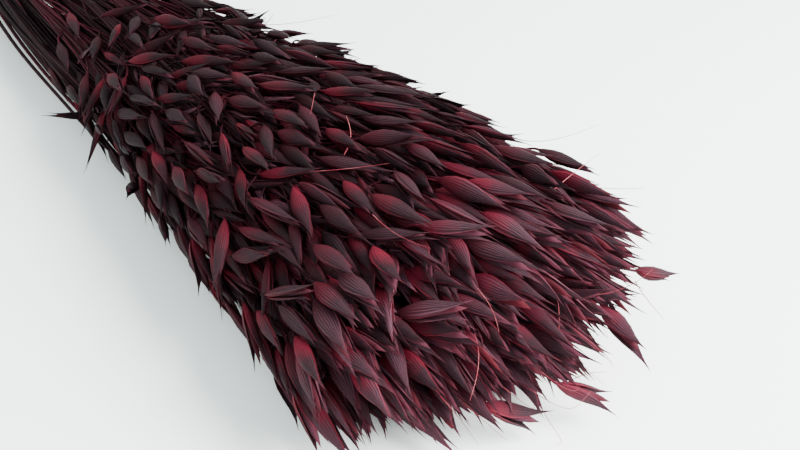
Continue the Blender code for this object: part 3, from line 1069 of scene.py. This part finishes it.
# how the dye took: tint, red and bloom (partly painted sheen), each from 0 to 1; the inner spikelets get
# painted shade, darker, and the plain ones painted light, paler
dyeingAndPaintedLight = {
    "redRarity": 2.2,
    "frontRed": 0.9,
    "lively": (0.32, 0.68),
    "tint": (0.25, 0.75),
    "bloomAndSheenRarity": 0.7,
    # painted shade on the spikelets inside the head
    "innerPaintedShade": 0.42,
    "strayLively": 0.40,
    # painted light on the deepest, plain spikelets
    "plainPaintedLight": 0.85,
    "stemTint": 0.5,
    "stemBloom": 0.2,
}

# thin branches that leave the straws at the neck and run up along the head
branches = {
    "each": 17,
    "from": (-20 * mm, 130 * mm),
    "run": (70 * mm, 160 * mm),
    "thick": (0.75 * mm, 0.40 * mm),
    "outwards": (0.0, 0.35),
    "aside": 0.16,
    "bow": 0.9 * mm,
    "beforeTip": 12 * mm,
    "mostReach": 0.98,
    "steps": 6,
}

# stems that bow out from one side of the neck: the outermost one's points, in millimetres
looseStems = {
    "count": 22,
    "points": (
        (-20, -17, 16),
        (40, -27, 15),
        (78, -33, 15),
        (113, -36.5, 15),
        (149, -39.5, 15),
        (182, -43, 15),
        (219, -45, 18),
    ),
    "radii": (1.0 * mm, 0.95 * mm, 0.9 * mm, 0.85 * mm, 0.8 * mm, 0.7 * mm, 0.55 * mm),
    "inwards": (3.2 * mm, 11 * mm),
    "height": (-9 * mm, 13 * mm),
    "along": (-14 * mm, 14 * mm),
    "wander": 1.0 * mm,
    "outermostWander": 0.3,
    # they grow with the stalks that are furthest to that side here
    "stalks": 4,
    "sideAt": 40 * mm,
}

# long awns that stand clear: base, tip and bow, in millimetres
longAwns = (
    ((352, 25, 45), (354, 50, 55), (1, -1, 2)),
    ((304, -13, 55), (292, -3, 60), (2, 1, 0)),
    ((386, 1, 30), (379, 5, 41), (1, 0, 0)),
    ((377, 46, 20), (397, 36, 22), (-1, -1, 1)),
    ((389, 7, 10), (393, 16, 10), (0, 0, 1)),
    ((190, 31, 45), (194, 34, 51), (0, 1, 0)),
)


def keptInBox(point):
    # the frame's box, in the layout's place
    low, high = cadBox
    for k in range(3):
        point[k] = min(max(point[k], low[k] - toFrame[k]), high[k] - toFrame[k])
    return point


def addTube(curve, points, radii, isSmooth):
    spline = curve.splines.new("NURBS" if isSmooth else "POLY")
    spline.points.add(len(points) - 1)
    for target, point, radius in zip(spline.points, points, radii):
        target.co = (*point, 1.0)
        target.radius = radius / mm
    if isSmooth:
        spline.use_endpoint_u = True
        spline.order_u = min(4, len(points))
        spline.resolution_u = 3


def meshOfTubes(curve):
    holder = bpy.data.objects.new(curve.name, curve)
    bpy.context.scene.collection.objects.link(holder)
    graph = bpy.context.evaluated_depsgraph_get()
    mesh = bpy.data.meshes.new_from_object(holder.evaluated_get(graph))
    bpy.data.objects.remove(holder)
    return mesh


def newTubes(name, sides):
    curve = bpy.data.curves.new(name, "CURVE")
    curve.dimensions = "3D"
    curve.bevel_depth = 1 * mm
    curve.bevel_resolution = (sides - 4) // 2
    curve.use_fill_caps = True
    return curve


def wanderAt(x, lengths, phases):
    first, second = (math.sin(x * length + phase) for length, phase in zip(lengths, phases))
    return first + stalkLook["secondWave"] * second


def strawPath(stalk, rng):
    look = stalkLook
    phases = [rng.uniform(0, 2 * math.pi) for _ in range(4)]
    joints, x = [], stalk.cutX + rng.uniform(*look["firstJoint"]) * mm
    while x < stalk.startX:
        joints.append(x)
        x += rng.uniform(*look["jointEvery"])
    count = int((stalk.tipX - stalk.cutX) / look["strawStep"])
    stations = [stalk.cutX + (stalk.tipX - stalk.cutX) * i / count for i in range(count + 1)]
    half = look["jointLength"] / 2
    shoulder = half * look["jointShoulder"]
    for joint in joints:
        stations += [joint - shoulder, joint - half, joint + half, joint + shoulder]
    stations.sort()
    points, radii = [], []
    for x in stations:
        sideways = wanderAt(x, look["sidewaysWaves"], phases[:2])
        upwards = wanderAt(x, look["upwardWaves"], phases[2:])
        points.append(stalk.point(x) + Vector((0, sideways, upwards)) * look["wander"])
        atJoint = any(abs(x - joint) < half * look["jointReach"] for joint in joints)
        radii.append(stalk.radius(x) * (look["jointSwell"] if atJoint else 1.0))
    radii[-1] *= look["tipShare"]
    return points, radii


def pedicelPath(spikelet, rng):
    # it leaves the rachis along it, sags, and turns into the spikelet's own direction
    look = stalkLook
    start = spikelet.stalk.point(spikelet.root.x)
    end = spikelet.base + spikelet.direction * 0.6 * mm
    run = (end - start).length
    leave = spikelet.stalk.direction(spikelet.root.x)
    sag = look["pedicelSag"] * min(1.0, run / look["fullSagFrom"])
    side = Vector((0, rng.uniform(-1, 1), rng.uniform(*look["sagUpwards"]))) * sag
    back = min(run * look["leaveShare"], look["pedicelTurn"])
    points = [
        start,
        start + leave * run * look["leaveShare"] + side * 0.5,
        end - spikelet.direction * back + side * 0.5,
        end - spikelet.direction * 0.8 * mm,
        end,
    ]
    thin, thick = look["pedicel"], look["pedicelEnd"]
    return points, [thin * 1.2, thin, thin, thick * 0.8, thick]


def awnPath(spikelet, rng):
    look = stalkLook
    length = rng.uniform(*look["awnLength"])
    start = spikelet.base + spikelet.direction * spikelet.length * look["awnFrom"]
    bend = Vector((rng.uniform(-0.3, 0.3), rng.uniform(-1, 1), rng.uniform(-0.5, 0.9))) * look["awnBend"]
    points = []
    steps = len(look["awnTaper"]) - 1
    for i in range(steps + 1):
        t = i / steps
        points.append(start + (spikelet.direction * t + bend * t * t) * length)
    return points, [look["awn"] * share for share in look["awnTaper"]]


def branchPath(stalk, rng):
    start = rng.uniform(*branches["from"])
    end = min(start + rng.uniform(*branches["run"]), stalk.tipX - branches["beforeTip"])
    outwards = 1 + rng.uniform(*branches["outwards"])
    aside, bow = rng.gauss(0, branches["aside"]), rng.uniform(-1, 1) * branches["bow"]
    points, steps = [], branches["steps"]
    for i in range(steps + 1):
        t = i / steps
        x = start + (end - start) * t
        a, b = stalk.disc(x)
        turn = math.atan2(b, a) + aside * t
        reach = stalk.reach + (min(branches["mostReach"], stalk.reach * outwards) - stalk.reach) * t
        point = sectionPoint(x, reach * math.cos(turn), reach * math.sin(turn))
        points.append(point + Vector((0, bow, bow)) * math.sin(math.pi * t))
    thick, thin = branches["thick"]
    return points, [thick + (thin - thick) * i / steps for i in range(steps + 1)]


def looseStemPath(number, rng):
    # the first is the outermost one
    isFirst = number == 0
    inwards = 0.0 if isFirst else rng.uniform(*looseStems["inwards"])
    height = 0.0 if isFirst else rng.uniform(*looseStems["height"])
    along = 0.0 if isFirst else rng.uniform(*looseStems["along"])
    points, off = [], Vector((along, inwards, height))
    share = looseStems["outermostWander"] if isFirst else 1.0
    for point in looseStems["points"]:
        stray = Vector((0, rng.uniform(-1, 1), rng.uniform(-1, 1))) * looseStems["wander"]
        points.append(Vector(point) * mm + off + stray * share)
    return points, looseStems["radii"]


def longAwnPath(base, tip, bow):
    base, tip, bow = Vector(base) * mm, Vector(tip) * mm, Vector(bow) * mm
    points = [base.lerp(tip, t) + bow * 4 * t * (1 - t) for t in (0, 0.25, 0.5, 0.75, 1)]
    return points, [stalkLook["awn"] * share for share in stalkLook["longAwnTaper"]]


def nearestTip(place):
    # the stalk whose tip is nearest
    return min(stalks, key=lambda stalk: (stalk.point(stalk.tipX) - place).length)


def spikeletMatrix(spikelet, rng):
    across = spikelet.direction.cross(spikelet.normal).normalized()
    if rng.random() < stalkLook["facing"]:
        roll = rng.gauss(0, stalkLook["faceTurn"])
    else:
        roll = rng.uniform(0, math.pi)
    # half of them lie the other way up
    if rng.random() < 0.5:
        roll += math.pi
    across = Matrix.Rotation(roll, 3, spikelet.direction) @ across
    up = across.cross(spikelet.direction).normalized()
    half = spikelet.width / 2 * (1.0 if spikelet.isExtra else stalkLook["outerWidth"])
    half *= 1 + stalkLook["frontWidth"] * frontShare(spikelet)
    columns = (spikelet.direction * spikelet.length, across * -half, up * half)
    turn = Matrix([[columns[c][r] for c in range(3)] for r in range(3)]).to_4x4()
    return Matrix.Translation(spikelet.base) @ turn


def frontShare(spikelet):
    start, end = stalkLook["front"]
    return max(0.0, min(1.0, (spikelet.base.x - start) / (end - start)))


def shapeFor(spikelet, rng):
    # the shapes are in order of how far they gape, and the share stays just under the last one's end
    shapes = plainShapes if spikelet.isPlain else fineShapes
    least = stalkLook["frontOpen"] * frontShare(spikelet)
    return shapes[int(rng.uniform(least, 1.0) * len(shapes) * 0.999)]


def dyeAndPaintedLightValues(spikelet, rng):
    # redder towards the front of the head; the spikelets inside it are darker, painted shade, and the plain
    # ones paler, painted light
    forward = max(0.0, min(1.0, spikelet.base.x / bunch["headEnd"]))
    red = min(1.0, rng.random() ** dyeingAndPaintedLight["redRarity"] + dyeingAndPaintedLight["frontRed"] * forward**4 * rng.random())
    lively = grown(dyeingAndPaintedLight["lively"], forward**3)
    # painted shade: the spikelets between and under the outer ones are made darker
    if spikelet.isExtra:
        lively *= dyeingAndPaintedLight["innerPaintedShade"]
    if spikelet in strays:
        red *= dyeingAndPaintedLight["strayLively"]
        lively *= dyeingAndPaintedLight["strayLively"]
    # painted light: the plain spikelets lie deepest, where shade falls, and are made paler, with a light
    # tint and full bloom; they take no painted shade towards the back
    if spikelet.isPlain:
        return (dyeingAndPaintedLight["plainPaintedLight"], red, 1.0, 0.0)
    tint = rng.random() * grown(dyeingAndPaintedLight["tint"], lively)
    return (tint, red, rng.random() ** dyeingAndPaintedLight["bloomAndSheenRarity"] * lively, 1.0)


def appended(bm, mesh, matrix, values):
    dyeLayer = bm.verts.layers.float_color["dye"]
    before = len(bm.verts)
    copy = mesh.copy()
    if matrix is not None:
        copy.transform(matrix)
    bm.from_mesh(copy)
    bpy.data.meshes.remove(copy)
    bm.verts.ensure_lookup_table()
    for vert in bm.verts[before:]:
        vert[dyeLayer] = values


def hollowCut(bm, stalk):
    # the straw's cut end, open and hollow
    edge = stalk.cutX + stalkLook["cutDepth"]
    facing = stalkLook["cutFacing"]
    caps = [f for f in bm.faces if all(v.co.x < edge for v in f.verts) and abs(f.normal.x) > facing]
    bmesh.ops.inset_region(bm, faces=caps, thickness=stalkLook["hollow"], use_even_offset=True)
    made = bmesh.ops.extrude_face_region(bm, geom=caps)
    inner = [v for v in made["geom"] if isinstance(v, bmesh.types.BMVert)]
    bmesh.ops.translate(bm, verts=inner, vec=(stalkLook["hollowDepth"], 0, 0))
    bmesh.ops.delete(bm, geom=caps, context="FACES_ONLY")


def finished(bm, name, materials):
    mesh = bpy.data.meshes.new(name)
    bm.to_mesh(mesh)
    bm.free()
    for material in materials:
        mesh.materials.append(material)
    mesh.transform(Matrix.Translation(toFrame))
    piece = bpy.data.objects.new(name, mesh)
    bpy.context.scene.collection.objects.link(piece)
    return piece


def stalkPiece(stalk, own, rng):
    name = f"oatStalk{stalk.index + 1:02d}"
    bm = bmesh.new()
    # the dye layer carries the dye together with the painted light and shade of each spikelet
    bm.verts.layers.float_color.new("dye")
    bm.loops.layers.uv.new("husk")
    thick = newTubes("straw", 8)
    addTube(thick, *strawPath(stalk, rng), False)
    stemDye = (dyeingAndPaintedLight["stemTint"], rng.random() ** stalkLook["redStems"], dyeingAndPaintedLight["stemBloom"], 1.0)
    appended(bm, meshOfTubes(thick), None, stemDye)
    hollowCut(bm, stalk)
    thin, awns = newTubes("pedicels", 4), newTubes("awns", 4)
    for spikelet in own:
        addTube(thin, *pedicelPath(spikelet, rng), True)
        if not spikelet.isPlain and rng.random() < stalkLook["awnShare"]:
            points, radii = awnPath(spikelet, rng)
            addTube(awns, [keptInBox(p) for p in points], radii, True)
    for _ in range(branches["each"]):
        addTube(thin, *branchPath(stalk, rng), True)
    if stalk in leftmost:
        for number in range(leftmost.index(stalk), looseStems["count"], len(leftmost)):
            addTube(thin, *looseStemPath(number, rng), True)
    for base, tip, bow in longAwns:
        if nearestTip(Vector(base) * mm) is stalk:
            points, radii = longAwnPath(base, tip, bow)
            addTube(awns, [keptInBox(p) for p in points], radii, True)
    appended(bm, meshOfTubes(thin), None, stemDye)
    for face in bm.faces:
        face.material_index = strawSlot
    before = len(bm.faces)
    if awns.splines:
        appended(bm, meshOfTubes(awns), None, stemDye)
        bm.faces.ensure_lookup_table()
        for face in bm.faces[before:]:
            face.material_index = awnSlot
    for face in bm.faces:
        face.smooth = True
    for spikelet in own:
        appended(bm, shapeFor(spikelet, rng), spikeletMatrix(spikelet, rng), dyeAndPaintedLightValues(spikelet, rng))
    for vert in bm.verts:
        keptInBox(vert.co)
    piece = finished(bm, name, (husk, floret, strawSkin, awnSkin))
    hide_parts(f"oat_stalk_{stalk.index + 1:02d}")
    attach(piece, "root")
    return piece


leftmost = sorted(stalks, key=lambda stalk: stalk.point(looseStems["sideAt"]).y)[: looseStems["stalks"]]
stalkRandom = random.Random(stalkLook["seed"])
triangles = 0
for stalk in stalks:
    own = [s for s in spikelets + extras if s.stalk is stalk]
    piece = stalkPiece(stalk, own, stalkRandom)
    triangles += sum(len(p.vertices) - 2 for p in piece.data.polygons)
print("stalks made:", len(stalks), "triangles:", triangles)

# the twine

tie = {
    "turns": 6,
    "ply": 0.60 * mm,
    "plyOffset": 0.52 * mm,
    "plyPitch": 5.2 * mm,
    "lift": 1.35 * mm,
    "pitch": 2.1 * mm,
    "stepsPerTurn": 150,
    "waver": (-0.04, 0.04),  # in millimetres
    "strawGap": 0.5 * mm,
    "knotRadius": 2.3 * mm,
    "knotLift": 0.9,
    "knotTurn": math.pi / 2 - 0.25,
    "knotSteps": 90,
    "knotWaist": 0.42,
    "knotWidth": 1.25,
    "tails": (24 * mm, 31 * mm),
    "tailSteps": 40,
    "tailFrom": 4 * mm,
    "tailAlong": 0.86,
    "tailSwings": (-0.34, 0.30),
    "tailSwing": (2.2, 0.05, 9),
    "tailCover": (1.0 * mm, 2.6 * mm),
    # the tail's last steps bend aside, by this much more at each
    "tailEnd": 34,
    "tailEndBend": 0.12 * mm,
    "seed": 3,
}


def roundStraws(x, turn, cover):
    # the place across the bunch and its height, this far outside the outermost straws
    halfWidth, low, high, _ = blended(bunch["sections"], x)
    level = low + bunch["widestLevel"] * (high - low)
    up = (high - level if math.sin(turn) > 0 else level - low) + cover
    return middle(x) + (halfWidth + cover) * math.cos(turn), level + up * math.sin(turn)


def tiePoint(turn, x, lift):
    cover = straw["radius"] + tie["strawGap"] + lift
    return Vector((bunch["tieAt"] + x, *roundStraws(bunch["tieAt"], turn, cover)))


def twisted(path):
    # two plies laid round each other along the path
    plies = [[], []]
    travelled = 0.0
    for i, point in enumerate(path):
        ahead, behind = path[min(i + 1, len(path) - 1)], path[max(i - 1, 0)]
        along = (ahead - behind).normalized()
        travelled += (point - behind).length if i else 0.0
        side = along.orthogonal() if i == 0 else (side - along * side.dot(along)).normalized()
        other = along.cross(side)
        for k in range(2):
            turn = 2 * math.pi * travelled / tie["plyPitch"] + math.pi * k
            plies[k].append(point + (side * math.cos(turn) + other * math.sin(turn)) * tie["plyOffset"])
    return plies


def woundTurns():
    rng = random.Random(tie["seed"])
    steps, turns = tie["stepsPerTurn"], tie["turns"]
    width = tie["pitch"] * (turns - 1)
    wound = []
    for i in range(steps * turns + 1):
        share = i / steps
        x = -width / 2 + width * min(1.0, share / turns) + rng.uniform(*tie["waver"]) * mm
        wound.append(tiePoint(tie["knotTurn"] + 2 * math.pi * share, x, tie["lift"]))
    return wound


def knotLoops():
    # a trefoil, flattened on the turns
    radius, waist = tie["knotRadius"], tie["knotWaist"]
    centre = tiePoint(tie["knotTurn"], 0.0, tie["lift"] + radius * tie["knotLift"])
    knot = []
    for i in range(tie["knotSteps"] + 1):
        t = 2 * math.pi * i / tie["knotSteps"]
        ring = radius * (1 + waist * math.cos(3 * t))
        x, y = ring * math.cos(2 * t) * tie["knotWidth"], ring * math.sin(2 * t)
        knot.append(centre + Vector((x, y, radius * waist * math.sin(3 * t))))
    return knot


def tailPath(k):
    # one tail lies along the straws on each side of the turns
    direction, length = (-1, 1)[k], tie["tails"][k]
    speed, ripple, ripples = tie["tailSwing"]
    least, more = tie["tailCover"]
    tail = []
    for i in range(tie["tailSteps"] + 1):
        t = i / tie["tailSteps"]
        x = (tie["tailFrom"] + length * t) * direction * tie["tailAlong"] + bunch["tieAt"]
        turn = tie["knotTurn"] + tie["tailSwings"][k] * math.sin(t * speed) + ripple * math.sin(ripples * t)
        cover = straw["radius"] + least + (1 - t) ** 2 * more
        tail.append(Vector((x, *roundStraws(x, turn, cover))))
    return tail


def bentAtEnd(ply):
    bent = []
    for i, point in enumerate(ply):
        aside = max(0, i - tie["tailEnd"]) * tie["tailEndBend"]
        bent.append(point - Vector((0, aside, 0)))
    return bent


def tiePiece():
    curve = newTubes("twine", 6)
    plies = twisted(woundTurns()) + twisted(knotLoops())
    for k in range(len(tie["tails"])):
        plies += [bentAtEnd(ply) for ply in twisted(tailPath(k))]
    for ply in plies:
        addTube(curve, ply, [tie["ply"]] * len(ply), False)
    bm = bmesh.new()
    bm.from_mesh(meshOfTubes(curve))
    bmesh.ops.remove_doubles(bm, verts=bm.verts, dist=1e-7)
    bmesh.ops.recalc_face_normals(bm, faces=bm.faces)
    for face in bm.faces:
        face.smooth = True
    piece = finished(bm, "twineTie", (twine,))
    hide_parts("twine_tie")
    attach(piece, "root")


tiePiece()
print("tie made")

# the floor, the lights and the camera

studio = {
    "floor": (0.945, 0.985, 0.975, 1),
    "floorPatch": (0.925, 0.97, 0.96, 1),
    "sky": (0.87, 0.965, 0.95, 1),
    "skyPower": 1.76,
    "cameraPlace": Vector((543.0, -185.3, 234.1)) * mm,
    "cameraLook": Vector((-0.6349, 0.5176, -0.5736)),
    "focalPixels": 1100.0,
    "imageWidth": 800.0,
    "lights": (
        # place, aim, size, watts, colour
        (Vector((0.45, 0.75, 1.0)), Vector((0.25, 0, 0.02)), 0.9, 9.0, (1.0, 0.99, 0.97)),
        (Vector((0.82, 0.36, 0.60)), Vector((0.28, 0, 0.03)), 0.7, 47.0, (1.0, 0.99, 0.98)),
        (Vector((0.9, -0.7, 0.8)), Vector((0.15, 0, 0.02)), 0.8, 11.0, (0.95, 0.98, 1.0)),
    ),
}


def floorPiece():
    s = Shader("paleTable", Roughness=0.7, Specular_IOR_Level=0.2)
    patches = s.noise(s.objectPlace(), 3.0, 2.0)
    s.paint(Base_Color=s.mixed(s.ranged(patches, 0.3, 0.7) * 0.2, studio["floor"], studio["floorPatch"]))
    bm = bmesh.new()
    bmesh.ops.create_grid(bm, x_segments=2, y_segments=2, size=6.0)
    mesh = bpy.data.meshes.new("table")
    bm.to_mesh(mesh)
    bm.free()
    mesh.materials.append(s.material)
    table = bpy.data.objects.new("table", mesh)
    bpy.context.scene.collection.objects.link(table)


def aimed(obj, place, look):
    obj.location = place
    obj.rotation_euler = look.to_track_quat("-Z", "Y").to_euler()
    bpy.context.scene.collection.objects.link(obj)


def lights():
    for i, (place, aim, size, power, colour) in enumerate(studio["lights"]):
        light = bpy.data.lights.new(f"softbox{i}", "AREA")
        light.shape = "DISK"
        light.size = size
        light.energy = power
        light.color = colour
        aimed(bpy.data.objects.new(light.name, light), place, aim - place)
    world = bpy.data.worlds.new("studio")
    world.use_nodes = True
    sky = world.node_tree.nodes["Background"]
    sky.inputs["Color"].default_value = studio["sky"]
    sky.inputs["Strength"].default_value = studio["skyPower"]
    bpy.context.scene.world = world


def camera():
    lens = bpy.data.cameras.new("camera")
    lens.sensor_width = 36.0
    lens.lens = studio["focalPixels"] * lens.sensor_width / studio["imageWidth"]
    lens.clip_start = 0.01
    holder = bpy.data.objects.new("camera", lens)
    aimed(holder, studio["cameraPlace"] + toFrame, studio["cameraLook"])
    bpy.context.scene.camera = holder


floorPiece()
lights()
camera()
